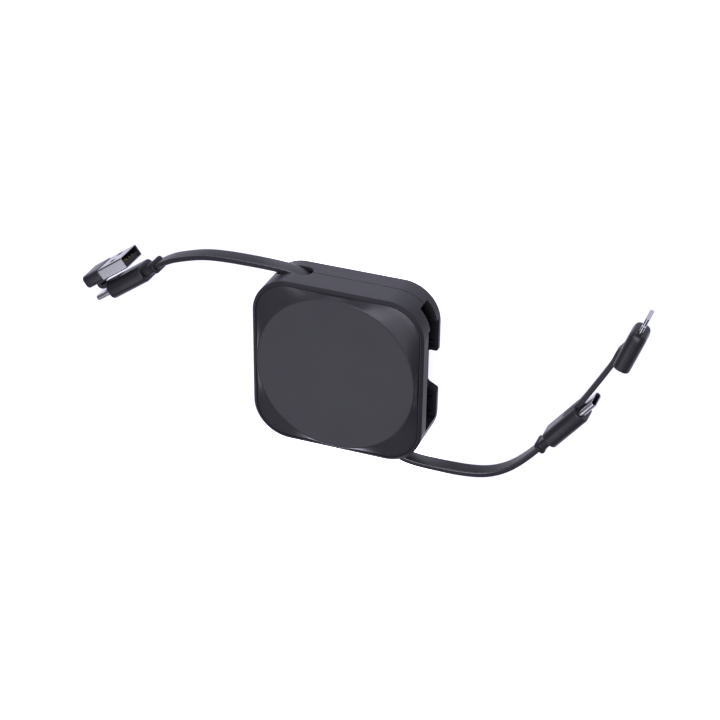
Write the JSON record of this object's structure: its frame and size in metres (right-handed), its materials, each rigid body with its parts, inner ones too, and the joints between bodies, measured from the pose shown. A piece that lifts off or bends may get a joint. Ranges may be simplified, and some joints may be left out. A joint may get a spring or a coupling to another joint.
{
  "type": "retractable charging cable",
  "caption": "Rounded-square reel case with a raised round cover, a flat cable paid out at both ends, reversible plugs, tethered adapters and side storage channels.",
  "frame": {"origin": "middle of the case's back face", "axes": "+Z out of the front cover, +Y towards the wall that the left cable leaves, +X towards the wall with the slim adapter's channel"},
  "size_m": [0.2094, 0.077, 0.0201],
  "materials": {
    "case_plastic": "fine satin",
    "cover_plastic": "matte",
    "plug_plastic": "satin",
    "cable_jacket": "satin",
    "strap_rubber": "matte",
    "plated_steel": "satin plated",
    "contact_gold": "gold plated",
    "insulator": "matte",
    "reel_plastic": "natural moulded",
    "spring_steel": "blued",
    "ball_steel": "polished"
  },
  "bodies": {
    "case": {"rear_shell": "case_plastic", "front_shell": "case_plastic", "front_cover": "cover_plastic", "case_screws": "spring_steel", "left_cable": "cable_jacket", "left_strain_relief": "cable_jacket", "left_plug_body": "plug_plastic", "left_plug_tip": "plated_steel", "left_plug_insert": "insulator", "left_strap": "strap_rubber", "wide_adapter_body": "plug_plastic", "wide_adapter_shell": "plated_steel", "wide_adapter_tongue": "insulator", "wide_adapter_contacts": "contact_gold", "wide_adapter_socket": "plated_steel", "wide_adapter_socket_tongue": "insulator", "right_cable": "cable_jacket", "right_strain_relief": "cable_jacket", "right_plug_body": "plug_plastic", "right_plug_tip": "plated_steel", "right_plug_insert": "insulator", "right_strap": "strap_rubber", "slim_adapter_body": "plug_plastic", "slim_adapter_tip": "plated_steel", "slim_adapter_contacts": "contact_gold", "slim_adapter_socket": "plated_steel", "slim_adapter_socket_tongue": "insulator"},
    "reel": {"reel": "reel_plastic", "reel_lid": "reel_plastic", "wound_cable": "cable_jacket", "mainspring": "spring_steel"},
    "ball": {"lock_ball": "ball_steel"}
  },
  "joints": [
    {"name": "reel_spin", "type": "hinge", "parent": "case", "child": "reel", "pos_m": [0, 0, 0.0078], "axis": [0, 0, 1], "range_deg": [-135, 990], "deforming": ["mainspring"]},
    {"name": "ball_drop", "type": "slide", "parent": "case", "child": "ball", "axis": [0, 1, 0], "range_m": [0, 0.002]}
  ]
}
